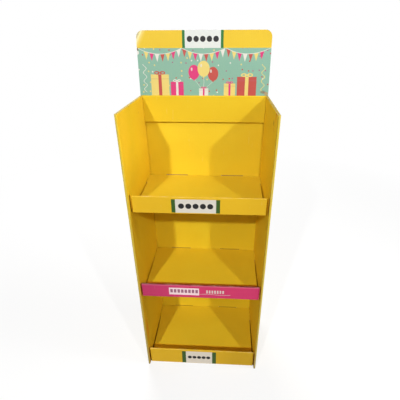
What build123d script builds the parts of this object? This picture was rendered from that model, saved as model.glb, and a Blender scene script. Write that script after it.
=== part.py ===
from build123d import *
import os
from math import cos, radians, sin, tan

# Corrugated shop display stand, in millimetres.
# The origin is on the floor, in the middle of the stand's overall width and depth.
# The open front faces -Y, and the header card leans back past the back panel.

# Board and folds
board = 3.0               # thickness of the corrugated board
fold_inner_radius = 0.4   # inside radius of a creased fold
cut_clearance = 0.6       # room round a tab in its slot
tab_crush = 0.4           # how much thinner a deck's tab is pressed where it goes through a slot
slot_headroom = 1.2       # room above such a tab
relief = 1.5              # slit that frees a flange or flap from the board beside it

# Shell
width = 500.0             # across the outer faces of the side walls
depth = 350.0             # from the front edges to the back panel's outer face
height = 1160.0           # up to the top edge of the side walls
wall_gap = 2.0            # hollow between the two leaves of a side wall
leaf_end_gap = 1.5        # between an inner leaf's rear edge and the back panel
pocket_gap = 10.0         # between the back panel and the flap, where the header stands
flap_height = 102.0       # the flap in front of the back panel
flap_side_gap = 0.6       # between the flap and each side wall

# Trays
bottom_deck_height = 26.0     # top face of the bottom tray's deck, above the floor
tray_pitch = 397.0            # from one deck to the next
deck_side_gap = 1.0           # between a deck and each side wall
deck_rear_gap = 1.0           # between a rear flange and the back panel
lip_recess = 15.0             # lip's face, behind the front edges of the walls
lip_gap = 1.0                 # space between the two leaves of a lip
bottom_lip_rise = 63.0        # bottom tray's lip, above its deck's top face
upper_lip_rise = 58.0         # the same for the two trays above it
lip_end_gap = 4.0             # between a lip's end and the side wall
top_lip_end_gap = 8.0         # the same for the top tray, whose lip is a little shorter
lip_drop = 7.0                # lower edge of an upper tray's lip, below its deck's top face
flange_height = 40.0          # side and rear flanges, below the deck's top face
flange_taper = 8.0            # slant of a flange's ends
flange_wall_gap = 2.5         # between a side flange's rear end and the side wall
side_flange_start = 70.0      # front end of a side flange, from the walls' front edges
side_flange_end = 260.0       # its rear end, from the same edges
rear_flange_inset = 5.0       # rear flange's end, from the deck's side edge

# Tabs that carry the trays
rear_tab_width = 94.0         # tabs through the back panel
rear_tab_spacing = 243.0      # between the middles of the two rear tabs
side_tab_width = 50.0         # tabs in the deck's plane, near the rear
side_tab_inset = 18.0         # rear edge of a side tab, from the rear flange's face
foot_tab_width = 60.0         # tabs turned outwards at the foot of a side flange
foot_tab_offset = 60.0        # middle of a foot tab, from the flange's front end
tab_reach = 1.0               # tab's end past the inner leaf, in the wall's hollow

# Header card
header_rise = 226.0           # above the shell's top edge, along the card
header_corner = 24.0          # radius of its top corners
header_lean = 4.3             # backward lean in degrees
tongue_shoulder = 26.0        # width of the shoulder on each side of the tongue
tongue_depth = 58.0           # tongue's lower edge, below the shell's top edge
tongue_chamfer = 10.0         # lead-in at the tongue's lower corners
crease_side = 38.0            # lower end of the fold across the creased corner, from the top edge
crease_top = 22.0             # the fold's upper end, from the card's left edge
crease_angle = 22.0           # how far that corner is bent forwards
seat_clearance = 0.1          # between the card and what it rests on or leans against

# Folds
bend = fold_inner_radius + board / 2      # radius of a fold at the board's middle
fold_depth = bend + board / 2             # from a fold's outer face to where the board is flat

# Header card's place, from the back panel's outer face at the shell's top edge
lean = radians(header_lean)
half_board_y = board / 2 * cos(lean)      # half the leaning card's thickness, along Y
header_setback = board + pocket_gap - seat_clearance - tongue_depth * sin(lean) - half_board_y
header_overhang = header_rise * sin(lean) + half_board_y - header_setback
shoulder_rise = (seat_clearance + board / 2 * sin(lean)) / cos(lean)
tongue_half_width = width / 2 - tongue_shoulder

# Places along Y, from the front edges to the back
wall_front_y = -(depth + header_overhang) / 2
lip_outer_y = wall_front_y + lip_recess + board / 2
lip_inner_y = lip_outer_y + board + lip_gap
flange_front_y = wall_front_y + side_flange_start
flange_rear_y = wall_front_y + side_flange_end
back_outer_y = wall_front_y + depth
back_mid_y = back_outer_y - board / 2
back_face_y = back_outer_y - board
deck_rear_y = back_face_y - deck_rear_gap
deck_flat_rear_y = deck_rear_y - fold_depth
side_tab_y = deck_rear_y - side_tab_inset - side_tab_width / 2
flap_mid_y = back_face_y - pocket_gap - board / 2
header_y = back_outer_y - header_setback
header_slot_y = header_y - board / 2 * tan(lean)
header_slot_width = board / cos(lean) + 2 * cut_clearance

# Places along X, from the outer faces inwards
outer_leaf_x = width / 2 - board / 2
inner_leaf_x = outer_leaf_x - board - wall_gap
tab_end_x = inner_leaf_x + board / 2 + tab_reach
wall_face_x = inner_leaf_x - board / 2
flap_half_width = wall_face_x - flap_side_gap
deck_half_width = wall_face_x - deck_side_gap
rear_tab_x = rear_tab_spacing / 2

# Slots
deck_slot_height = board - tab_crush + cut_clearance + slot_headroom
foot_slot_height = board + 2 * cut_clearance

# One row for each tray: name, deck's top face, lip above the deck, gap at the lip's ends, on feet
trays = [
    ("bottom_tray", bottom_deck_height, bottom_lip_rise, lip_end_gap, False),
    ("middle_tray", bottom_deck_height + tray_pitch, upper_lip_rise, lip_end_gap, True),
    ("top_tray", bottom_deck_height + 2 * tray_pitch, upper_lip_rise, top_lip_end_gap, True),
]


def side_fold(end_gap):
    """Fold line of the right side flange: start, direction and length.
    It runs outwards a little, from the lip's end to the flange's rear end."""
    start = Vector(wall_face_x - end_gap, flange_front_y)
    run = Vector(wall_face_x - flange_wall_gap, flange_rear_y) - start
    return start, run.normalized(), run.length


def foot_tab_middle(end_gap):
    """Point on the side flange's fold line, above the middle of its foot tab."""
    start, direction, length = side_fold(end_gap)
    return start + direction * foot_tab_offset


def fold_tray(deck_z, lip_rise, end_gap, on_feet):
    """A tray folded from one sheet. Its right half is made, then mirrored."""
    lip_half_width = wall_face_x - end_gap
    lip_foot_z = deck_z - lip_drop if on_feet else 0
    foot_z = deck_z - flange_height if on_feet else 0
    board_z = deck_z - board / 2

    # Fold lines of the flanges, each with the slant of its first and last end
    start, direction, length = side_fold(end_gap)
    rear_flange_x = deck_half_width - rear_flange_inset
    tab_inner_x = rear_tab_x - rear_tab_width / 2 - relief
    tab_outer_x = rear_tab_x + rear_tab_width / 2 + relief
    rear_run = rear_flange_x - tab_outer_x
    folds = [
        (start, direction, length, flange_taper, flange_taper),
        (Vector(rear_flange_x, deck_rear_y), Vector(-1, 0), rear_run, flange_taper, flange_taper),
        (Vector(tab_inner_x, deck_rear_y), Vector(-1, 0), tab_inner_x, flange_taper, 0),
    ]

    with BuildPart() as tray:
        # Deck, cut back at its edges to where the folds begin, with the tabs left in its plane
        inward = Vector(-direction.Y, direction.X)
        front_flat = start + inward * fold_depth
        rear_flat = front_flat + direction * (length + relief)
        with BuildSketch(Plane.XY.offset(deck_z - board)):
            with BuildLine():
                Polyline(
                    (0, lip_inner_y + bend),
                    (lip_half_width, lip_inner_y + bend),
                    (lip_half_width, flange_front_y - relief),
                    (front_flat.X, flange_front_y - relief),
                    front_flat,
                    rear_flat,
                    (deck_half_width, rear_flat.Y),
                    (deck_half_width, deck_flat_rear_y),
                    (0, deck_flat_rear_y),
                    close=True,
                )
            make_face()
            with Locations((rear_tab_x, deck_flat_rear_y)):
                Rectangle(rear_tab_width, back_outer_y - deck_flat_rear_y, align=(Align.CENTER, Align.MIN))
            with Locations((deck_half_width, side_tab_y)):
                Rectangle(tab_end_x - deck_half_width, side_tab_width, align=(Align.MIN, Align.CENTER))
        extrude(amount=board)
        with BuildSketch(Plane.XY.offset(deck_z)):
            with Locations((rear_tab_x, deck_rear_y)):
                Rectangle(rear_tab_width, back_outer_y - deck_rear_y, align=(Align.CENTER, Align.MIN))
            with Locations((deck_half_width, side_tab_y)):
                Rectangle(tab_end_x - deck_half_width, side_tab_width, align=(Align.MIN, Align.CENTER))
        extrude(amount=-tab_crush, mode=Mode.SUBTRACT)

        # Front lip: up from the deck, over the top and down again
        with BuildSketch(Plane.YZ):
            with BuildLine():
                FilletPolyline(
                    (lip_inner_y + 2 * bend, board_z),
                    (lip_inner_y, board_z),
                    (lip_inner_y, deck_z + lip_rise - board / 2),
                    (lip_outer_y, deck_z + lip_rise - board / 2),
                    (lip_outer_y, lip_foot_z),
                    radius=bend,
                )
            trace(line_width=board)
        extrude(amount=lip_half_width)

        # Flanges folded down along the side and the rear
        for corner, along, run, first_taper, last_taper in folds:
            outward = Vector(along.Y, -along.X)
            with BuildSketch(Plane(origin=corner, x_dir=outward, z_dir=-along)):
                with BuildLine():
                    FilletPolyline(
                        (-fold_depth - board, board_z),
                        (-board / 2, board_z),
                        (-board / 2, deck_z - 2 * fold_depth),
                        radius=bend,
                    )
                trace(line_width=board)
            extrude(amount=-run)
            with BuildSketch(Plane(origin=corner - outward * board, x_dir=along, z_dir=outward)):
                with BuildLine():
                    Polyline(
                        (0, deck_z - fold_depth),
                        (run, deck_z - fold_depth),
                        (run - last_taper, foot_z),
                        (first_taper, foot_z),
                        close=True,
                    )
                make_face()
            extrude(amount=board)

        # Foot tab: part of the side flange's foot, turned outwards into the wall
        if on_feet:
            outward = -inward
            tab_middle = foot_tab_middle(end_gap)
            notch = (foot_tab_width + 2 * relief, fold_depth + relief)
            with BuildSketch(Plane(origin=tab_middle - outward * board, x_dir=direction, z_dir=outward)):
                with Locations((0, foot_z)):
                    Rectangle(*notch, align=(Align.CENTER, Align.MIN))
            extrude(amount=board, mode=Mode.SUBTRACT)
            with BuildSketch(Plane(origin=tab_middle, x_dir=outward, z_dir=-direction)):
                with BuildLine():
                    FilletPolyline(
                        (-board / 2, foot_z + fold_depth + relief),
                        (-board / 2, foot_z + board / 2),
                        (tab_end_x - tab_middle.X, foot_z + board / 2),
                        radius=bend,
                    )
                trace(line_width=board)
            extrude(amount=foot_tab_width / 2, both=True)
        mirror(about=Plane.YZ)
    return tray.part


with BuildPart() as outer_shell:
    # Seen from above: the back panel, the side walls and their inner leaves
    with BuildSketch():
        with BuildLine():
            FilletPolyline(
                (-inner_leaf_x, back_face_y - leaf_end_gap),
                (-inner_leaf_x, wall_front_y + board / 2),
                (-outer_leaf_x, wall_front_y + board / 2),
                (-outer_leaf_x, back_mid_y),
                (outer_leaf_x, back_mid_y),
                (outer_leaf_x, wall_front_y + board / 2),
                (inner_leaf_x, wall_front_y + board / 2),
                (inner_leaf_x, back_face_y - leaf_end_gap),
                radius=bend,
            )
        trace(line_width=board)
    extrude(amount=height)

    # Flap: the back panel's top folded forwards and down, freed by a slit at each end
    flap_root_z = height - fold_depth - relief
    with BuildSketch(Plane.XZ.offset(-back_mid_y)):
        with Locations((0, flap_root_z)):
            Rectangle(2 * (flap_half_width + relief), 2 * fold_depth, align=(Align.CENTER, Align.MIN))
    extrude(amount=board, both=True, mode=Mode.SUBTRACT)
    with BuildSketch(Plane.YZ):
        with BuildLine():
            FilletPolyline(
                (back_mid_y, flap_root_z),
                (back_mid_y, height - board / 2),
                (flap_mid_y, height - board / 2),
                (flap_mid_y, height - flap_height),
                radius=bend,
            )
        trace(line_width=board)
    extrude(amount=flap_half_width, both=True)

    # Slot in the flap's top fold for the header card's tongue
    with BuildSketch(Plane.XY.offset(height)):
        with Locations((0, header_slot_y)):
            Rectangle(2 * (tongue_half_width + cut_clearance), header_slot_width)
    extrude(amount=-board, mode=Mode.SUBTRACT)

    for name, deck_z, lip_rise, end_gap, on_feet in trays:
        # Slots in the back panel for the rear tabs
        rear_slot = (rear_tab_width + 2 * cut_clearance, deck_slot_height)
        with BuildSketch(Plane.XZ.offset(-back_mid_y)):
            with Locations((0, deck_z - board - cut_clearance)):
                with Locations((-rear_tab_x, 0), (rear_tab_x, 0)):
                    Rectangle(*rear_slot, align=(Align.CENTER, Align.MIN))
        extrude(amount=board, both=True, mode=Mode.SUBTRACT)

        # Slots in the inner leaves, for the side tabs and the foot tabs
        slots = [(side_tab_y, deck_z - board, side_tab_width, deck_slot_height)]
        if on_feet:
            foot_y = foot_tab_middle(end_gap).Y
            slots.append((foot_y, deck_z - flange_height, foot_tab_width, foot_slot_height))
        for slot_y, tab_foot_z, tab_width, slot_height in slots:
            slot_z = tab_foot_z - cut_clearance
            with Locations((-inner_leaf_x, slot_y, slot_z), (inner_leaf_x, slot_y, slot_z)):
                Box(
                    board + wall_gap,
                    tab_width + 2 * cut_clearance,
                    slot_height,
                    align=(Align.CENTER, Align.CENTER, Align.MIN),
                    mode=Mode.SUBTRACT,
                )

outer_shell.part.label = "outer_shell"

# Header card: its tongue stands in the pocket and its shoulders rest on the shell's top edge
header_plane = Plane(origin=(0, header_y, height), x_dir=(1, 0, 0), z_dir=(0, -cos(lean), sin(lean)))
crease_start = header_plane.from_local_coords((-width / 2, header_rise - crease_side, -board / 2))
crease_end = header_plane.from_local_coords((crease_top - width / 2, header_rise, -board / 2))
crease_line = Axis(crease_start, crease_end - crease_start)
cornerward = header_plane.z_dir.cross(crease_line.direction)
crease = Plane(crease_start, x_dir=crease_line.direction, z_dir=cornerward)
with BuildPart() as header_card:
    with BuildSketch(header_plane) as card:
        with Locations((0, shoulder_rise)):
            Rectangle(width, header_rise - shoulder_rise, align=(Align.CENTER, Align.MIN))
            Rectangle(2 * tongue_half_width, tongue_depth + shoulder_rise, align=(Align.CENTER, Align.MAX))
        fillet(card.vertices().group_by(Axis.Y)[-1], radius=header_corner)
        chamfer(card.vertices().group_by(Axis.Y)[0], length=tongue_chamfer)
    extrude(amount=board / 2, both=True)

    # The top left corner is creased: it turns forwards about a fold on the card's rear face
    corner = split(bisect_by=crease, keep=Keep.TOP, mode=Mode.PRIVATE)
    split(bisect_by=crease, keep=Keep.BOTTOM)
    add(corner.rotate(crease_line, crease_angle))
header_card.part.label = "header_card"

os.makedirs("parts", exist_ok=True)
export_step(outer_shell.part, "parts/outer_shell.step")
export_step(header_card.part, "parts/header_card.step")
for name, *sizes in trays:
    tray = fold_tray(*sizes)
    tray.label = name
    export_step(tray, f"parts/{name}.step")
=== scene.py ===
from math import cos, pi, radians, sin

import bpy
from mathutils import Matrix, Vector


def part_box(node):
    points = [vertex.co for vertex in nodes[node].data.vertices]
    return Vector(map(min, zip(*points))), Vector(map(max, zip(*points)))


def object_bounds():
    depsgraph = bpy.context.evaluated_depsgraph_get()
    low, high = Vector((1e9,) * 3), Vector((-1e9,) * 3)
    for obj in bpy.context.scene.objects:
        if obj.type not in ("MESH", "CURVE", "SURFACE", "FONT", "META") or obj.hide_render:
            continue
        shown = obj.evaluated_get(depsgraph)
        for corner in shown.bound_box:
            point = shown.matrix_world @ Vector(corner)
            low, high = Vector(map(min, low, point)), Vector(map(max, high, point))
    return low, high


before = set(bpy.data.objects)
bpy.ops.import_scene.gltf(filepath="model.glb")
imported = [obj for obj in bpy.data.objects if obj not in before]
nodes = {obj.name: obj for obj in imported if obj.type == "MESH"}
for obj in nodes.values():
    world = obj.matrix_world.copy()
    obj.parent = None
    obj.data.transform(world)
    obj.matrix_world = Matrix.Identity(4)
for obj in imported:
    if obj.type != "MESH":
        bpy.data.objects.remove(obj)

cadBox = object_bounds()
print("frame loaded:", ", ".join(sorted(nodes)))


# colours are written as a screen shows them, 0 to 255, and turned linear here
def rgb(red, green, blue):
    def linear(level):
        share = level / 255
        return share / 12.92 if share <= 0.04045 else ((share + 0.055) / 1.055) ** 2.4
    return (linear(red), linear(green), linear(blue), 1)


# board, in millimetres
board = {
    "thickness": 3.0,
    "liner": 0.4,                # the two outer papers
    "flutePaper": 0.35,          # the waved paper between them
    "flutePitch": 6.4,
    "kraft": rgb(172, 140, 96),
    "kraftLight": rgb(196, 168, 124),
    "cutPaper": rgb(216, 198, 102),
    "cutLight": rgb(228, 214, 138),
    "hollow": rgb(154, 134, 72),     # between the flutes of a cut edge
    "creviceShade": rgb(88, 46, 8),   # painted shade inside slots and in dents
    "seamShade": rgb(112, 46, 0),     # painted shade in the corners and gaps between pieces
    "wornPaper": rgb(236, 224, 178),
    "grime": rgb(120, 104, 78),
    "bumpStep": 0.0001,          # metres, for a height of 1
    "shine": 0.3,
    "gloss": {"even": 0.5, "drift": 0.12, "raw": 0.3},    # roughness: of print, its drift, raw paper's extra
}

# printing inks, and what wear leaves of them
inks = {
    "yellow": rgb(237, 203, 40),
    "backYellow": rgb(233, 205, 45),
    "lowerYellow": rgb(235, 208, 45),
    # painted light and painted shade for the top of the left wall
    "litYellow": rgb(250, 207, 45),
    "shadedYellow": rgb(225, 185, 36),
    "flapYellow": rgb(223, 193, 33),
    "deckYellow": rgb(233, 201, 44),
    "topDeckYellow": rgb(230, 201, 51),
    "lipYellow": rgb(222, 182, 32),
    "bandYellow": rgb(222, 191, 45),
    "magenta": rgb(206, 56, 117),
    "magentaDeep": rgb(118, 26, 26),
    "teal": rgb(132, 176, 157),
    "coral": rgb(179, 76, 69),
    "cream": rgb(219, 200, 117),
    "white": rgb(215, 214, 206),
    "blush": rgb(246, 222, 230),
    "coolWhite": rgb(212, 218, 216),
    "lipWhite": rgb(212, 209, 201),
    "footWhite": rgb(227, 221, 209),
    "green": rgb(30, 105, 44),
    "lipGreen": rgb(46, 80, 20),
    "dark": rgb(18, 18, 20),
    "mauve": rgb(153, 102, 127),
    "fold": rgb(207, 182, 56),   # print worn by hands on the walls' front folds
    "foldDirt": rgb(164, 145, 70),
    "rubbed": rgb(214, 128, 30),
    "bruised": rgb(150, 106, 20),
    "crackAndHighlight": rgb(238, 226, 168),     # bared paper along the header's crease, and the painted highlight beside it
    "bentPaper": rgb(188, 181, 146),
}


# one output of a shader node; arithmetic on it adds Math nodes to its tree
class Signal:
    def __init__(self, tree, socket):
        self.tree = tree
        self.socket = socket

    def node(self, kind, settings=None, inputs=None, output=0):
        made = self.tree.nodes.new("ShaderNode" + kind)
        for name, value in (settings or {}).items():
            if name == "stops":
                made.color_ramp.interpolation = "CONSTANT"
                for place, colour in value[2:]:
                    made.color_ramp.elements.new(place)
                for element, (place, colour) in zip(made.color_ramp.elements, value):
                    element.position = place
                    element.color = colour
            else:
                setattr(made, name, value)
        for name, value in (inputs or {}).items():
            if isinstance(value, Signal):
                self.tree.links.new(value.socket, made.inputs[name])
            else:
                made.inputs[name].default_value = value
        return Signal(self.tree, made.outputs[output])

    def maths(self, operation, *values):
        return self.node("Math", {"operation": operation}, dict(enumerate(values)))

    def __add__(self, other):
        return self.maths("ADD", self, other)

    def __radd__(self, other):
        return self.maths("ADD", other, self)

    def __sub__(self, other):
        return self.maths("SUBTRACT", self, other)

    def __rsub__(self, other):
        return self.maths("SUBTRACT", other, self)

    def __mul__(self, other):
        return self.maths("MULTIPLY", self, other)

    def __rmul__(self, other):
        return self.maths("MULTIPLY", other, self)

    def __truediv__(self, other):
        return self.maths("DIVIDE", self, other)

    def __mod__(self, other):
        return self.maths("FLOORED_MODULO", self, other)

    def __abs__(self):
        return self.maths("ABSOLUTE", self)


def sine(angle):
    return angle.maths("SINE", angle)


def larger(first, *others):
    for other in others:
        first = first.maths("MAXIMUM", first, other)
    return first


def ramp(value, start, end):         # from 0 at the start to 1 at the end
    return value.node("MapRange", None, {"Value": value, "From Min": start, "From Max": end})


def above(value, edge, soft=0.3):    # 0 below the edge and 1 above it, in a ramp as wide as soft
    return ramp(value, edge - soft / 2, edge + soft / 2)


def below(value, edge, soft=0.3):
    return ramp(value, edge + soft / 2, edge - soft / 2)


def between(value, low, high, soft=0.3):
    return above(value, low, soft) * below(value, high, soft)


def faces(part):                     # 1 where the surface looks along an axis, by that part of its normal
    return above(part, 0.5, 0.1)


def facesAgainst(part):
    return below(part, -0.5, 0.1)


def rectangle(u, v, left, right, foot, top):
    return between(u, left, right) * between(v, foot, top)


def ellipse(u, v, middleU, middleV, reachU, reachV, soft=0.4):
    du = (u - middleU) / reachU
    dv = (v - middleV) / reachV
    return below(du.maths("SQRT", du * du + dv * dv), 1.0, soft / min(reachU, reachV))


# a Mix node's colours go in at these sockets and come out at this one
mixUnder, mixOver, mixResult = 6, 7, 2


def paint(under, over, mask):        # over where the mask is 1
    inputs = {"Factor": mask, mixUnder: under, mixOver: over}
    return mask.node("Mix", {"data_type": "RGBA"}, inputs, mixResult)


def tinted(colour, tint):
    inputs = {"Factor": 1.0, mixUnder: colour, mixOver: tint}
    return tint.node("Mix", {"data_type": "RGBA", "blend_type": "MULTIPLY"}, inputs, mixResult)


def noise(place, scale, detail=2, rough=0.5):
    inputs = {"Vector": place, "Scale": scale, "Detail": detail, "Roughness": rough}
    return place.node("TexNoise", None, inputs)


def stretched(place, scale):
    return place.node("VectorMath", {"operation": "MULTIPLY"}, {0: place, 1: scale})


def startMaterial(name):             # the place on the object in mm, its parts, and the normal's parts
    material = bpy.data.materials.new(name)
    material.use_nodes = True
    tree = material.node_tree
    tree.nodes.clear()
    coords = tree.nodes.new("ShaderNodeTexCoord")
    place = stretched(Signal(tree, coords.outputs["Object"]), (1000, 1000, 1000))
    spot = tree.nodes.new("ShaderNodeSeparateXYZ")
    tree.links.new(place.socket, spot.inputs[0])
    normal = tree.nodes.new("ShaderNodeSeparateXYZ")
    tree.links.new(coords.outputs["Normal"], normal.inputs[0])
    axes = [Signal(tree, socket) for socket in spot.outputs]
    facing = [Signal(tree, socket) for socket in normal.outputs]
    return material, place, axes, facing


def finishMaterial(material, colour, roughness, height):    # height in tenths of a millimetre
    tree = material.node_tree
    bump = colour.node("Bump", None, {"Strength": 1.0, "Distance": board["bumpStep"], "Height": height})
    inputs = {"Base Color": colour, "Roughness": roughness, "Normal": bump}
    inputs["Specular IOR Level"] = board["shine"]
    shader = colour.node("BsdfPrincipled", None, inputs)
    output = tree.nodes.new("ShaderNodeOutputMaterial")
    tree.links.new(shader.socket, output.inputs["Surface"])
    return material


def roughnessOf(place, gloss, raw):  # raw paper is rougher than print
    return gloss["even"] + gloss["drift"] * noise(place, 0.05, 2) + gloss["raw"] * raw


def washboard(along):                # 1 on a flute's crest and -1 in its trough
    return sine(along * (2 * pi / board["flutePitch"]))


# raw cut edge across the flutes: two liners and the wave of the middle paper between them
def fluteEdge(place, along, across):
    half = board["thickness"] / 2
    wave = washboard(along) * (half - board["liner"])
    middle = below(abs(across - wave), board["flutePaper"], 0.4)
    liners = above(abs(across), half - board["liner"], 0.2)
    paper = paint(board["cutPaper"], board["cutLight"], noise(place, 1.1, 2))
    return paint(board["hollow"], paper, larger(middle, liners))


# printed paper over flutes: slow drift of the ink, blotches, faint ribs, rubs and specks
prints = {
    "cloudSize": 140.0,          # millimetres
    "mottleSize": 5.0,
    "cloud": 0.9,                # how much each adds to the ink's thickness
    "mottle": 0.5,
    "rib": 0.08,
    "evenInk": 0.25,
    "rubStretch": (0.2, 0.2, 0.03),      # rubs run upwards
    "rubScale": 0.5,
    "rubShare": 0.70,            # of the noise, before a rub shows
    "rubStrength": 0.2,
    "speckScale": 0.6,
    "speckShare": 0.80,
    "speckStrength": 0.4,
    "ribHeight": 0.22,           # in tenths of a millimetre
    "mottleHeight": 0.15,
    "thin": (1, 1, 1, 1),        # tint where the ink lies thinly, and where it lies thickly
    "thick": (0.94, 0.86, 0.62, 1),
    "thickCool": (0.92, 0.92, 0.93, 1),
}


def printedFace(place, rib, ink, thick="thick"):
    cloud = noise(place, 1 / prints["cloudSize"], 3)
    mottle = noise(place, 1 / prints["mottleSize"], 3, 0.6)
    ribs = washboard(rib)
    share = prints["cloud"] * cloud + prints["mottle"] * mottle + prints["rib"] * ribs - prints["evenInk"]
    colour = tinted(ink, paint(prints["thin"], prints[thick], share))
    rubbing = noise(stretched(place, prints["rubStretch"]), prints["rubScale"], 5, 0.75)
    rubs = above(rubbing, prints["rubShare"], 0.12)
    specks = above(noise(place, prints["speckScale"], 1), prints["speckShare"], 0.04)
    colour = paint(colour, board["wornPaper"], prints["rubStrength"] * rubs)
    colour = paint(colour, board["grime"], prints["speckStrength"] * specks)
    height = ribs * prints["ribHeight"] + mottle * prints["mottleHeight"]
    return colour, height


# bare brown paper with pale streaks and specks; grain is small along its fibres
bare = {
    "streakScale": 0.5,
    "streaks": 0.7,
    "speckScale": 1.3,
    "speckShare": 0.62,
    "specks": 0.3,
}


def kraftFace(place, grain):
    streaks = noise(stretched(place, grain), bare["streakScale"], 3, 0.6)
    specks = above(noise(place, bare["speckScale"], 2), bare["speckShare"], 0.2)
    return paint(board["kraft"], board["kraftLight"], bare["streaks"] * streaks + bare["specks"] * specks)


def scuffAlong(place, squeeze, share):    # broken wear along a fold: squeeze is small along the fold
    return above(noise(stretched(place, squeeze), 0.35, 5, 0.7), share, 0.15)


# shell: printed inside and out, kraft on its cut edges, pale where a fold is worn
shell = {
    "wallGap": 2.0,              # between a wall's two leaves
    "flapInset": 8.6,            # flap's end, from the wall's outer face
    "flapHeight": 102.0,
    "flapDepth": (20.0, 9.0),    # the flap lies between these, from the back panel's outer face
    "flapFold": 5.0,             # height of its fold
    "foldWidth": 3.0,
    "rearFold": 1.2,
    "lipFace": 15.0,             # from the walls' front edges to the lips
    "lipShadeEnd": 27.0,             # end of the painted shade beside a lip's end, from the same edges
    "soonerRight": 10.0,         # it starts this far before the lip's face
    "soonerLeft": 7.0,
    "soonerTop": 600.0,          # on the left only up to here
    "rearTabs": (121.5, 47.0),   # middle and half width of the slots in the back panel
    "dents": [                   # V-shaped dents on the walls, painted as shade in their crease: x, y, z, reach and strength
        (-242, 72, 1112, 7.0, 0.6),
    ],
    "rubs": [                    # soft marks: x, y, z, reach along the wall and up it, ink, strength
        # the first two are painted light at the left wall's front top and painted shade at its rear top
        (-242, -170, 1100, 80.0, 140.0, "litYellow", 0.9),
        (-242, 165, 1110, 115.0, 150.0, "shadedYellow", 1.0),
        (242, -102, 1120, 9.0, 8.0, "bruised", 0.8),
        (242, -146, 1156, 7.0, 5.0, "rubbed", 1.0),
        (242, -136, 1142, 9.0, 12.0, "rubbed", 0.6),
        (242, -112, 1104, 6.0, 12.0, "rubbed", 0.4),
        (242, -150, 751, 6.0, 9.0, "bruised", 0.7),
        (-242, -152, 205, 12.0, 62.0, "rubbed", 0.75),
    ],
    "dentShape": (0.4, 0.8, 0.22),       # rise, slope and stroke of the V; the first and last by its reach
    "raggedDent": 3.0,           # how far noise shifts the outline of a mark
    "raggedRub": (8.0, 12.0),
    "raggedFoot": 60.0,
    "foldDirtTop": 900.0,        # the front folds are dirtier from here down
    "rightFoldDirt": 0.5,        # the right one is cleaner
    "footDirtTop": 110.0,
    "footDirtSoft": 90.0,
    "foldWear": 0.5,
    "frontFoldWear": 0.5,
    "leftShade": (0.76, 0.66, 0.60, 1),    # painted shade: tint of the left wall near its front edge
    "leftShadeTop": 800.0,
    "leftShadeSoft": 60.0,
    "leftShadeReach": 90.0,
    "cornerLine": (0.84, 0.77, 0.45, 1),    # painted shade: tint along the top bay's rear corners
    "cornerReach": 5.0,
    "leftCorner": 0.4,           # the left corner's line is fainter
    # strength of the painted shade line along each deck's sides
    "deckLine": {"bottom_tray": 0.5, "middle_tray": 0.1, "top_tray": 0.0},
    "deckLineEnd": 235.0,        # from the walls' front edges
    "lipEndShade": 0.85,             # strength of the painted shade beside the lips' ends
    "tabSlotShade": 0.7,             # painted shade over the rear slots
    "slotShade": (0.5, 2.4),     # its heights above a deck, and those of the line beside a deck
    "deckShade": (-20.0, 3.4),
    "rightFoldShade": 0.4,            # painted shade behind the right front fold
    "grimeTop": 12.0,
    "grimeStrength": 0.6,
    "cutDepth": 8.0,             # from the top down: the flap's fold has no cut edge there
    "slotsFoot": 8.0,            # no slot is nearer to the foot, and to the top, than these
    "slotsTop": 20.0,
}


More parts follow.
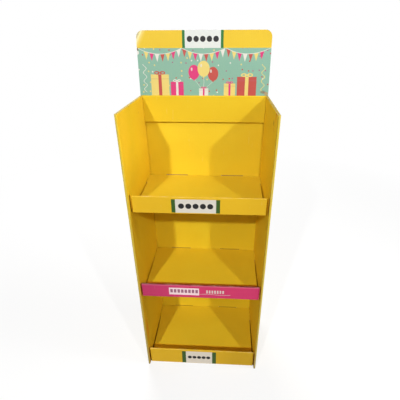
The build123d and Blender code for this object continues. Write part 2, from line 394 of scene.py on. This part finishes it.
def shellMaterial():
    low, high = [corner * 1000 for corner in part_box("outer_shell")]
    material, place, (x, y, z), (_, _, nz) = startMaterial("shellPrint")
    half = board["thickness"] / 2
    outerX = high.x - half
    innerX = outerX - board["thickness"] - shell["wallGap"]
    backY = high.y - half
    topDeck = trays["top_tray"]["deck"]
    onBack = above(y, high.y - board["thickness"] - 0.5)
    onWall = 1 - onBack
    along = x * onBack + y * onWall
    flapFront, flapRear = shell["flapDepth"]
    onFlap = between(y, high.y - flapFront, high.y - flapRear) * above(z, high.z - shell["flapHeight"] - 1)
    onFlap = larger(onFlap, above(z, high.z - shell["flapFold"], 2.0))
    onFlap = onFlap * below(abs(x), high.x - shell["flapInset"])
    backInk = paint(inks["lowerYellow"], inks["backYellow"], above(z, topDeck))
    ink = paint(inks["yellow"], backInk, onBack)
    ink = paint(ink, inks["flapYellow"], onFlap)
    colour, height = printedFace(place, along, ink)
    onInside = below(abs(x), innerX - half + 0.5)
    onRight = above(x, 0)
    onLeft = below(x, 0)
    ragged = noise(place, 0.3, 3) - 0.5

    # painted shade: the left wall is darker and redder near its front edge, below the top bay
    leftShade = below(y, low.y + shell["leftShadeReach"] / 2, shell["leftShadeReach"])
    leftShade = leftShade * onLeft * onInside * below(z, shell["leftShadeTop"], shell["leftShadeSoft"])
    colour = tinted(colour, paint(prints["thin"], shell["leftShade"], leftShade))

    # painted shade: a darker line along the rear corners of the top bay
    nearCorner = above(y, high.y - board["thickness"] - shell["cornerReach"], 4.0)
    nearCorner = nearCorner * above(abs(x), innerX - half - shell["cornerReach"], 4.0) * onInside
    nearCorner = nearCorner * above(z, topDeck) * (1 - (1 - shell["leftCorner"]) * onLeft)
    colour = tinted(colour, paint(prints["thin"], shell["cornerLine"], nearCorner))

    # wear and dirt on the front folds, wear on the rear corners
    foldFront = below(y, low.y + shell["foldWidth"], 2.4)
    foldDirt = (1 - z / shell["foldDirtTop"]) * (1 - (1 - shell["rightFoldDirt"]) * onRight)
    footDirt = below(z + ragged * shell["raggedFoot"], shell["footDirtTop"], shell["footDirtSoft"])
    foldDirt = larger(foldDirt, footDirt)
    foldInk = paint(inks["fold"], inks["foldDirt"], foldDirt)
    colour = paint(colour, foldInk, foldFront)
    foldRear = above(abs(x), high.x - shell["rearFold"] - 0.4, 0.8)
    foldRear = foldRear * above(y, high.y - shell["rearFold"], 0.8)
    upright = (0.6, 0.6, 0.05)
    wornFront = foldFront * shell["frontFoldWear"] * scuffAlong(place, upright, 0.6)
    wornRear = foldRear * scuffAlong(place, upright, 0.5)
    colour = paint(colour, board["wornPaper"], shell["foldWear"] * larger(wornFront, wornRear))

    # dents with painted shade in their crease, rubbed and bruised patches, and painted light and painted
    # shade on the left wall's top
    rise, slope, stroke = shell["dentShape"]
    for wallX, markY, markZ, reach, strength in shell["dents"]:
        onSide = below(abs(x - wallX), 1.0)
        fork = z - markZ + reach * rise - abs(y - markY) * slope + ragged * shell["raggedDent"]
        mark = below(abs(fork), reach * stroke, 0.8) * ellipse(y, z, markY, markZ, reach, reach)
        colour = paint(colour, board["creviceShade"], mark * onSide * strength)
    raggedY, raggedZ = shell["raggedRub"]
    for wallX, markY, markZ, reach, tall, markInk, strength in shell["rubs"]:
        onSide = below(abs(x - wallX), 1.0)
        mark = ellipse(y + ragged * raggedY, z + ragged * raggedZ, markY, markZ, reach, tall, reach)
        colour = paint(colour, inks[markInk], mark * onSide * strength)

    # painted shade beside the lips' ends, over the rear slots, along the decks' sides and behind the right
    # front fold
    sooner = onRight * shell["soonerRight"] + onLeft * shell["soonerLeft"] * below(z, shell["soonerTop"])
    lipShadeStart = low.y + shell["lipFace"] - sooner
    nearLip = above(y, lipShadeStart, 3.0) * below(y, low.y + shell["lipShadeEnd"], 5.0)
    tabMiddle, tabHalf = shell["rearTabs"]
    overTab = below(abs(abs(x) - tabMiddle), tabHalf + 1.0, 2.0)
    paintedShade = onInside * below(y, low.y + shell["foldWidth"] + 4, 3.0) * onRight * shell["rightFoldShade"]
    for name, strength in shell["deckLine"].items():
        lipFoot, lipTop = lipHeights(name)
        deck = trays[name]["deck"]
        besideLip = between(z, lipFoot - 1, lipTop + 1, 2.0) * nearLip * shell["lipEndShade"]
        aboveTab = between(z - deck, *shell["slotShade"], 0.6) * overTab * onBack * shell["tabSlotShade"]
        besideDeck = between(z - deck, *shell["deckShade"], 1.6) * above(y, low.y + shell["lipFace"])
        besideDeck = besideDeck * below(y, low.y + shell["deckLineEnd"], 60.0) * strength
        paintedShade = larger(paintedShade, besideLip * onInside, aboveTab, besideDeck * onInside)
    colour = paint(colour, board["seamShade"], paintedShade * below(z, high.z - 4))

    # grime where the stand scrapes the floor
    grime = below(z + noise(place, 0.12, 3) * shell["grimeTop"], shell["grimeTop"], 8.0)
    colour = paint(colour, board["grime"], shell["grimeStrength"] * grime)

    # cut edges at the top and the foot, apart from the flap's fold
    inFold = below(abs(x), high.x - shell["flapInset"] + 0.3) * above(z, high.z - shell["cutDepth"])
    cut = faces(abs(nz)) * (1 - inFold)
    onOuter = above(abs(x), (outerX + innerX) / 2)
    fromLeaf = (abs(x) - outerX) * onOuter + (abs(x) - innerX) * (1 - onOuter)
    across = (y - backY) * onBack + fromLeaf * onWall
    colour = paint(colour, fluteEdge(place, along, across), cut)

    # the inside of the slots lies in shade
    slots = faces(abs(nz)) * between(z, low.z + shell["slotsFoot"], high.z - shell["slotsTop"])
    colour = paint(colour, board["creviceShade"], slots)
    roughness = roughnessOf(place, board["gloss"], larger(cut, grime))
    return finishMaterial(material, colour, roughness, height)


# a tray's lip is two leaves of board; its lines are measured from its top edge down
lips = {
    "gap": 1.0,                  # between the two leaves
    "span": 65.0,                # height of an upper tray's lip
    "crest": 1.6,
    "crestWear": 0.3,
    "paleLine": (6.5, 2.5),      # painted highlight below the magenta lip's top fold
    "paleLineStrength": 0.12,
    "darkEdge": 2.2,
    "lipShadowReach": 71.0,           # of the painted shadow on the deck behind a lip
}

# trays: print on the side that ends up outside, kraft under the deck and inside the folds
trays = {
    "top_tray": {
        "deck": 820.0,
        "deckInk": "topDeckYellow",
        "sideShade": 0.0,         # painted shade on the flanges' outer faces
        "stainAndShade": (1, 200.0, 100.0, (0.97, 0.97, 0.92, 1)),    # tint of one end of the lip: side, start, softness, tint
        "lipShadow": (0.95, 0.90, 0.80, 1),     # painted shadow of the lip: tint of the deck behind it
        "badge": {
            "middle": -10.5,
            "half": 71.5,
            "bar": 14.0,         # width of each green bar beside the white field
            "reach": (3.0, 56.0),    # from the lip's lower edge up
            "dot": 10.5,
            "pitch": 25.5,
            "inks": ("lipGreen", "lipWhite"),
        },
    },
    "middle_tray": {
        "deck": 423.0,
        "deckInk": "deckYellow",
        "sideShade": 0.0,
        "stainAndShade": (-1, 140.0, 130.0, (0.80, 0.82, 0.86, 1)),
        "lipShadow": (0.98, 0.50, 0.60, 1),
        "strip": {
            "field": (-128.0, -5.0),
            "reach": (-20.0, 16.5),  # of the field, from the lip's middle up
            "margin": 3.0,
            "darkBlocks": 8,         # in the field
            "darkHalf": 9.0,         # half height
            "darkGaps": (2.5, 2.0),  # before and after a block
            "pale": (22.0, 98.0),    # the row of pale blocks beside the field
            "paleHalf": 8.0,
            "palePitch": 10.9,
            "paleBlock": (2.0, 8.6),
            "line": (-4.0, 122.0),
            "lineDrop": 14.0,
            "lineSway": 1.6,
            "lineHalf": 0.9,
            "paleStrength": 0.85,
            "lineStrength": 0.8,
        },
    },
    "bottom_tray": {
        "deck": 26.0,
        "deckInk": "deckYellow",
        "sideShade": 0.3,
        # painted shade: the lip darker towards its right end
        "stainAndShade": (1, 90.0, 100.0, (0.84, 0.84, 0.62, 1)),
        "lipShadow": (0.98, 0.78, 0.40, 1),
        "badge": {
            "middle": -12.0,
            "half": 61.0,
            "bar": 18.0,
            "reach": (1.0, 80.0),
            "dot": 9.5,
            "pitch": 21.5,
            "inks": ("lipGreen", "footWhite"),
        },
    },
}
badgeDots = 5


def lipHeights(name):                # lower and upper edge of a tray's lip
    low, high = [corner * 1000 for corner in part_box(name)]
    return (low.z if name == "bottom_tray" else high.z - lips["span"]), high.z


# a white field between two green bars, with a row of dots
def badge(colour, x, z, foot, top, spec):
    middle = spec["middle"]
    half = spec["half"]
    barInk, fieldInk = spec["inks"]
    bars = rectangle(x, z, middle - half - spec["bar"], middle + half + spec["bar"], foot, top)
    colour = paint(colour, inks[barInk], bars)
    colour = paint(colour, inks[fieldInk], rectangle(x, z, middle - half, middle + half, foot, top))
    for place in range(badgeDots):
        dotX = middle + (place - (badgeDots - 1) / 2) * spec["pitch"]
        dot = ellipse(x, z, dotX, (foot + top) / 2, spec["dot"], spec["dot"])
        colour = paint(colour, inks["dark"], dot)
    return colour


# a blush field with dark blocks, a row of pale blocks beside it and a wavy line under both
def strip(colour, x, z, middleZ, spec):
    left, right = spec["field"]
    foot, top = spec["reach"]
    colour = paint(colour, inks["blush"], rectangle(x, z, left, right, middleZ + foot, middleZ + top))
    first, last = left + spec["margin"], right - spec["margin"]
    step = (last - first) / spec["darkBlocks"]
    gapBefore, gapAfter = spec["darkGaps"]
    inRow = rectangle(x, z, first, last, middleZ - spec["darkHalf"], middleZ + spec["darkHalf"])
    colour = paint(colour, inks["mauve"], inRow * between((x - first) % step, gapBefore, step - gapAfter))
    first, last = spec["pale"]
    inRow = rectangle(x, z, first, last, middleZ - spec["paleHalf"], middleZ + spec["paleHalf"])
    blocks = inRow * between((x - first) % spec["palePitch"], *spec["paleBlock"])
    start, end = spec["line"]
    wave = sine((x - start) * (2 * pi / (end - start))) * spec["lineSway"]
    line = between(x, start, end) * below(abs(z - (middleZ - spec["lineDrop"] + wave)), spec["lineHalf"])
    return paint(colour, inks["white"], larger(blocks * spec["paleStrength"], line * spec["lineStrength"]))


def trayMaterial(name):
    spec = trays[name]
    low, high = [corner * 1000 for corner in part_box(name)]
    material, place, (x, y, z), (nx, ny, nz) = startMaterial(name + "Print")
    thickness = board["thickness"]
    lipInner = low.y + thickness + lips["gap"] + thickness / 2
    lipRear = lipInner + thickness / 2
    onLip = below(y, lipRear - 0.1)
    onFront = facesAgainst(ny) * below(y, low.y + 1.5)
    lipFoot, lipTop = lipHeights(name)
    crest = above(z, lipTop - lips["crest"], 1.2) * onLip
    lipInk = inks["magenta"] if "strip" in spec else inks["lipYellow"]
    ink = paint(inks[spec["deckInk"]], lipInk, onLip * above(z, lipFoot - 1))
    colour, height = printedFace(place, y + z, ink)
    if "strip" in spec:
        # painted highlight just under the magenta lip's crest
        lineFoot, lineTop = lips["paleLine"]
        paleLine = between(z, lipTop - lineFoot, lipTop - lineTop, 2.0) * onFront
        colour = paint(colour, inks["blush"], paleLine * lips["paleLineStrength"])
        colour = paint(colour, inks["magentaDeep"], above(z, lipTop - lips["darkEdge"], 1.6) * onLip)
        colour = paint(colour, strip(colour, x, z, (lipFoot + lipTop) / 2, spec["strip"]), onFront)
    else:
        foot, top = spec["badge"]["reach"]
        colour = paint(colour, badge(colour, x, z, lipFoot + foot, lipFoot + top, spec["badge"]), onFront)

    # a tint over one end of the lip, the lip's painted shadow on the deck behind it, and wear on its top
    # folds
    tintSide, tintFrom, tintSoft, endTint = spec["stainAndShade"]
    tintedEnd = above(x * tintSide, tintFrom, tintSoft) * onLip
    colour = tinted(colour, paint(prints["thin"], endTint, tintedEnd))
    # painted shadow of the lip on the deck behind it
    corner = between(y, lipRear - 1, lipRear + lips["lipShadowReach"], 5.0) * faces(nz)
    colour = tinted(colour, paint(prints["thin"], spec["lipShadow"], corner * below(z, spec["deck"] + 1)))
    crestWear = crest * scuffAlong(place, (0.06, 0.6, 0.6), 0.56) * lips["crestWear"]
    colour = paint(colour, board["wornPaper"], crestWear)

    # what is left bare: the underside, the inner faces of the flanges and the cut edges
    outward = nx * x.maths("SIGN", x)    # 1 on a face that looks away from the middle
    inward = facesAgainst(outward) * above(y, lipRear + 1)
    underside = facesAgainst(nz)
    rearInside = facesAgainst(ny) * above(y, lipRear + 5)
    unprinted = larger(inward, underside, rearInside)
    kraft = kraftFace(place, (0.08, 1, 1))
    colour = paint(colour, kraft, unprinted)
    # painted shade on the flanges' outer faces, beside the walls
    besideWall = faces(outward) * above(y, lipRear + 1)
    colour = paint(colour, board["seamShade"], spec["sideShade"] * besideWall)
    ends = faces(abs(nx)) * onLip
    leafMiddle = (low.y + lipRear) / 2
    onOuter = below(y, leafMiddle)
    across = (y - (low.y + thickness / 2)) * onOuter + (y - lipInner) * (1 - onOuter)
    colour = paint(colour, fluteEdge(place, z, across), ends)

    # tabs: shaded where they stand in a slot, kraft at their ends
    inRearSlot = above(y, high.y - thickness, 0.4)
    inSideSlot = above(abs(x), high.x - thickness - 1, 0.4) * above(y, lipRear + 5)
    colour = paint(colour, board["creviceShade"], larger(inRearSlot, inSideSlot))
    colour = paint(colour, kraft, faces(ny) * above(y, high.y - 0.3, 0.2))
    roughness = roughnessOf(place, board["gloss"], larger(unprinted, ends))
    return finishMaterial(material, colour, roughness, height)


# header card: a yellow band over a field of bunting, balloons, gifts and confetti
header = {
    "lean": 4.3,                 # backwards, in degrees
    "rise": 226.0,               # of the card above the shell
    "band": 59.0,                # height of the yellow band
    "badge": {
        "middle": -2.5,
        "half": 66.5,
        "bar": 10.0,
        "dot": 10.0,
        "pitch": 24.5,
        "inks": ("green", "coolWhite"),
    },
    "creaseSide": 38.0,          # the creased corner's fold: down the left side, and along the top
    "creaseTop": 22.0,
    # painted highlight beside the fold, grey beyond it and the crack on it: how far noise shifts the outline,
    # and strength
    "foldHighlight": (0.2, 0.8),
    "bent": (0.25, 0.9),
    "crack": (0.08, 0.9),
    # a bruise and a chip at the left edge, a torn, dirty foot at the right and a scrap of it: place across
    # the card and up it, reach in both ways, how far noise shifts the outline, softness, colour, strength
    "marks": [
        (-248.0, 163.0, 3.6, 4.5, (3.0, 3.0), 0.4, board["grime"], 1.0),
        (-249.0, 152.0, 5.6, 7.0, (3.0, 3.0), 0.4, inks["white"], 1.0),
        (229.0, 13.0, 10.0, 5.5, (6.0, 3.0), 4.0, board["grime"], 0.75),
        (242.0, 7.0, 7.0, 7.0, (6.0, 4.0), 2.0, board["kraft"], 0.8),
    ],
    "gloss": {"even": 0.42, "drift": 0.1, "raw": 0.35},
}
party = {
    "bunting": {
        "swag": 165.0,           # from one hanging point to the next
        "sag": 20.0,
        "pitch": 20.625,
        "half": 8.4,
        "tall": 27.0,
        "cord": 0.9,
        "last": 226.5,           # outer edge of the last flag
    },
    "flags": ["coral", "cream", "magenta", "white"],
    "confetti": {"cell": 25.0, "size": 2.7, "left": 0.3},     # left: share of the cells without a dot
    "dots": ["white", "mauve", "cream", "coral"],
    "streamers": [(-226.0, "white"), (226.0, "cream")],
    "streamer": {"half": 1.3, "sway": 6.0, "turns": 0.21, "reach": (12.0, 112.0)},    # turns: radians a mm
    # middle, height of the middle, half width, half height, ink
    "balloons": [(-37, 84, 21, 26, "magenta"), (36, 78, 20, 25, "coral"), (0, 96, 23, 28, "cream")],
    "knot": (0.0, 18.0),         # where the balloons' cords meet
    "string": {"half": 0.6, "sway": 1.2, "turns": 0.16},
    "nozzle": (3.0, 2.5),
    "shine": (3.2, 6.0),         # half width and half height, as the nozzle's
    "shineStrength": 0.75,
    # left, right, height, box, ribbon
    "gifts": [
        (-204, -134, 76, "cream", "coral"),
        (-128, -78, 50, "magenta", "white"),
        (-18, 18, 26, "white", "magenta"),
        (78, 122, 44, "cream", "magenta"),
        (128, 202, 68, "coral", "cream"),
    ],
    "giftFoot": -10.0,
    "ribbon": 0.09,              # half width, as a share of the gift's
    "lid": 0.8,                  # its lower edge, as a share of the height
    "lidShade": 1.2,
    "lidStrength": 0.6,
}


def chosen(share, names):            # one of the named inks, by a share from 0 to 1
    stops = [(place / len(names), inks[name]) for place, name in enumerate(names)]
    return share.node("ValToRGB", {"stops": stops}, {"Fac": share})


def bunting(colour, u, v, top):
    spec = party["bunting"]
    swagShare = ((u + spec["swag"] * 1.5) % spec["swag"]) / spec["swag"]
    drop = top - spec["sag"] * 4 * swagShare * (1 - swagShare) - v    # down from the cord
    flag = (u + spec["swag"] * 1.5) / spec["pitch"]
    offMiddle = abs((flag % 1.0) - 0.5) * spec["pitch"]
    inside = above(spec["half"] * (1 - drop / spec["tall"]) - offMiddle, 0.0) * above(drop, 0.0)
    turn = ((flag.maths("FLOOR", flag) % len(party["flags"])) + 0.5) / len(party["flags"])
    inside = inside * below(abs(u), spec["last"])
    colour = paint(colour, chosen(turn, party["flags"]), inside)
    return paint(colour, inks["white"], below(abs(drop), spec["cord"]))


def confetti(colour, u, v):
    spec = party["confetti"]
    flat = u.node("CombineXYZ", None, {0: u, 1: v})
    settings = {"voronoi_dimensions": "2D"}
    inputs = {"Vector": flat, "Scale": 1 / spec["cell"]}
    near = flat.node("TexVoronoi", settings, inputs)
    tint = flat.node("TexVoronoi", settings, inputs, 1)
    share = tint.node("SeparateColor", None, {0: tint}, 0)
    kept = above(tint.node("SeparateColor", None, {0: tint}, 1), spec["left"], 0.02)
    dots = below(near, spec["size"] / spec["cell"], 0.3 / spec["cell"]) * kept
    return paint(colour, chosen(share, party["dots"]), dots)


def streamer(colour, u, v, middle, ink):
    spec = party["streamer"]
    sway = middle + sine(v * spec["turns"]) * spec["sway"]
    return paint(colour, inks[ink], below(abs(u - sway), spec["half"]) * between(v, *spec["reach"]))


def balloon(colour, u, v, middleU, middleV, halfWidth, halfHeight, ink):
    spec = party["string"]
    knotU, knotV = party["knot"]
    foot = middleV - halfHeight
    share = (v - knotV) / (foot - knotV)
    sway = knotU + (middleU - knotU) * share + sine(v * spec["turns"]) * spec["sway"]
    cord = below(abs(u - sway), spec["half"]) * between(v, knotV, foot)
    colour = paint(colour, inks["white"], cord)
    body = ellipse(u, v, middleU, middleV, halfWidth, halfHeight)
    nozzle = ellipse(u, v, middleU, foot - 1, *party["nozzle"])
    colour = paint(colour, inks[ink], larger(body, nozzle))
    shine = ellipse(u, v, middleU - halfWidth * 0.4, middleV + halfHeight * 0.4, *party["shine"])
    return paint(colour, inks["white"], shine * party["shineStrength"])


def twins(u, v, middle, apart, height, reachU, reachV):    # an ellipse at each side of the middle
    sides = [ellipse(u, v, middle + side * apart, height, reachU, reachV) for side in (-1, 1)]
    return larger(*sides)


def gift(colour, u, v, left, right, tall, box, ribbon):
    middle = (left + right) / 2
    foot = party["giftFoot"]
    band = (right - left) * party["ribbon"]
    lid = tall * party["lid"]
    colour = paint(colour, inks[box], rectangle(u, v, left, right, foot, tall))
    lidShade = rectangle(u, v, left, right, lid - party["lidShade"], lid)
    colour = paint(colour, inks["mauve"], lidShade * party["lidStrength"])
    tie = rectangle(u, v, middle - band, middle + band, foot, tall)
    bowHeight = tall + band * 0.9
    loops = twins(u, v, middle, band * 1.7, bowHeight, band * 1.7, band)
    holes = twins(u, v, middle, band * 1.9, bowHeight, band * 0.8, band * 0.4)
    return paint(colour, inks[ribbon], larger(tie, loops * (1 - holes)))


def headerMaterial():
    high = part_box("header_card")[1] * 1000
    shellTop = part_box("outer_shell")[1].z * 1000
    material, place, (x, y, z), (_, ny, nz) = startMaterial("headerPrint")
    lean = radians(header["lean"])
    half = board["thickness"] / 2
    # v runs up the card from the shell's top edge, w through it from its middle to the front
    footY = high.y - half * cos(lean) - header["rise"] * sin(lean)
    v = (z - shellTop) * cos(lean) + (y - footY) * sin(lean)
    w = (z - shellTop) * sin(lean) - (y - footY) * cos(lean)
    facing = nz * sin(lean) - ny * cos(lean)
    front = above(facing, 0.6, 0.1)
    rear = below(facing, -0.6, 0.1)
    top = header["rise"]
    bandFoot = top - header["band"]

    colour, height = printedFace(place, x, inks["teal"], "thickCool")
    colour = confetti(colour, x, v)
    for streamerAt in party["streamers"]:
        colour = streamer(colour, x, v, *streamerAt)
    colour = bunting(colour, x, v, bandFoot)
    for balloonAt in party["balloons"]:
        colour = balloon(colour, x, v, *balloonAt)
    for giftAt in party["gifts"]:
        colour = gift(colour, x, v, *giftAt)
    bandColour, _ = printedFace(place, x, inks["bandYellow"])
    colour = paint(colour, bandColour, above(v, bandFoot))
    colour = badge(colour, x, v, bandFoot, top + 1, header["badge"])

    # creased corner: bared paper where the print breaks along the fold, a painted highlight beside it and
    # rubbed grey beyond it
    fromFold = 1 - (x - cadBox[0].x * 1000) / header["creaseTop"] - (top - v) / header["creaseSide"]
    ragged = noise(place, 0.25, 3) - 0.5
    shift, strength = header["foldHighlight"]
    foldHighlight = above(fromFold + ragged * shift, -0.5, 1.1)
    colour = paint(colour, inks["crackAndHighlight"], foldHighlight * foldHighlight * strength)
    shift, strength = header["bent"]
    bent = above(fromFold + ragged * shift, 0.18, 0.2)
    colour = paint(colour, inks["bentPaper"], bent * strength)
    shift, strength = header["crack"]
    crack = below(abs(fromFold + ragged * shift), 0.1, 0.16)
    colour = paint(colour, inks["crackAndHighlight"], crack * strength)

    for markX, markV, reach, tall, (raggedX, raggedV), soft, markColour, strength in header["marks"]:
        mark = ellipse(x + ragged * raggedX, v + ragged * raggedV, markX, markV, reach, tall, soft)
        colour = paint(colour, markColour, mark * strength)

    # bare board behind, and the cut edge between both faces
    colour = paint(kraftFace(place, (1, 1, 0.08)), colour, front)
    edge = (1 - front) * (1 - rear)
    colour = paint(colour, fluteEdge(place, x, w), edge)
    roughness = roughnessOf(place, header["gloss"], 1 - front)
    return finishMaterial(material, colour, roughness, height)


def dress(name, material):
    node = nodes[name]
    if not node.material_slots:
        node.data.materials.append(material)
    for place in node.material_slots:
        place.material = material


dress("outer_shell", shellMaterial())
for name in trays:
    dress(name, trayMaterial(name))
dress("header_card", headerMaterial())
print("boards printed")


# floor and background: plain white to the eye, with the stand's soft shadow near its foot
stage = {
    "size": 60.0,
    "bounce": (0.46, 0.38, 0.28, 1),    # what the floor gives back to the stand
    "level": 0.85,               # how pale it looks
    "under": (0.10, 0.05, 0.01, 1),     # painted shade on the floor under the bottom tray
    "whiteNear": 0.70,           # share of plain white beside the stand
    "shadowReach": (1.2, 3.0),   # it grows between these distances and is whole beyond them, in metres
}


def seenDirectly(tree):              # 1 for rays that show the background as it is
    path = tree.nodes.new("ShaderNodeLightPath")
    names = ["Is Camera Ray", "Is Glossy Ray", "Is Transmission Ray"]
    return larger(*[Signal(tree, path.outputs[name]) for name in names])


def makeFloor():
    bpy.ops.mesh.primitive_plane_add(size=stage["size"], location=(0, 0, 0))
    floor = bpy.context.object
    floor.name = "studioFloor"
    material, _, (x, y, _), _ = startMaterial("paleFloor")
    tree = material.node_tree
    seen = seenDirectly(tree)
    near, far = [reach * 1000 for reach in stage["shadowReach"]]
    distance = x.maths("SQRT", x * x + y * y)
    inputs = {"Value": distance, "From Min": near, "From Max": far, "To Min": stage["whiteNear"]}
    inputs["To Max"] = 1.0
    fade = distance.node("MapRange", None, inputs)
    low, high = [corner * 1000 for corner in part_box("bottom_tray")]
    under = between(x, low.x, high.x, 1.0) * between(y, low.y + 3, high.y - 3, 2.0)    # painted shade under the bottom tray, seen through its gaps
    level = stage["level"]
    shade = paint((level, level, level, 1), stage["under"], under)
    grey = paint(stage["bounce"], shade, seen)
    matt = x.node("BsdfDiffuse", None, {"Color": grey})
    white = x.node("Emission", None, {"Color": (1, 1, 1, 1), "Strength": 1.0})
    mixed = x.node("MixShader", None, {0: seen * fade * (1 - under), 1: matt, 2: white})
    output = tree.nodes.new("ShaderNodeOutputMaterial")
    tree.links.new(mixed.socket, output.inputs["Surface"])
    floor.data.materials.append(material)


# lamps: two small ones high in front, as in a shop's ceiling, four soft ones in front, at the right and
# behind, and a plain sky
lamps = {
    "leftLamp": {"kind": "POINT", "place": (-1.29, -3.98, 3.55), "power": 505.0, "size": 0.10},
    "rightLamp": {"kind": "POINT", "place": (2.67, -3.98, 3.55), "power": 421.0, "size": 0.10},
    "nearLamp": {"kind": "AREA", "place": (0.0, -1.5, 2.4), "power": 6.0, "size": 1.2},
    "sideLamp": {"kind": "AREA", "place": (1.7, -0.5, 3.2), "power": 12.0, "size": 0.8},
    "wallLamp": {"kind": "AREA", "place": (2.2, -0.25, 2.2), "power": 27.0, "size": 0.8},
    "rearLamp": {"kind": "AREA", "place": (-1.2, 3.2, 2.6), "power": 140.0, "size": 2.0},
}
lampAim = (0, 0, 0.6)
sky = 0.05


def makeLamps():
    for name, lamp in lamps.items():
        bpy.ops.object.light_add(type=lamp["kind"], location=lamp["place"])
        light = bpy.context.object
        light.name = name
        light.data.energy = lamp["power"]
        if lamp["kind"] == "AREA":
            light.data.size = lamp["size"]
            aim = Vector(lampAim) - light.location
            light.rotation_euler = aim.to_track_quat("-Z", "Y").to_euler()
        else:
            light.data.shadow_soft_size = lamp["size"]
    world = bpy.data.worlds.new("studioSky")
    bpy.context.scene.world = world
    world.use_nodes = True
    tree = world.node_tree
    tree.nodes.clear()
    strength = sky + seenDirectly(tree) * (1 - sky)
    background = strength.node("Background", None, {"Color": (1, 1, 1, 1), "Strength": strength})
    output = tree.nodes.new("ShaderNodeOutputWorld")
    tree.links.new(background.socket, output.inputs["Surface"])


# camera, from the photograph's corners
camera = {
    "place": (0.08563, -1.13770, 1.37226),
    "turn": (61.911, 0.261, 3.102),      # degrees about X, Y and Z
    "lens": 28.692,
    "sensor": 36,
    "shift": (-0.01839, 0.01034),
}


def makeCamera():
    bpy.ops.object.camera_add(location=camera["place"], rotation=[radians(turn) for turn in camera["turn"]])
    eye = bpy.context.object
    eye.name = "photoCamera"
    eye.data.sensor_width = camera["sensor"]
    eye.data.lens = camera["lens"]
    eye.data.shift_x, eye.data.shift_y = camera["shift"]
    bpy.context.scene.camera = eye


makeFloor()
makeLamps()
makeCamera()
bpy.context.scene.view_settings.view_transform = "Standard"
print("floor, lamps and camera ready")
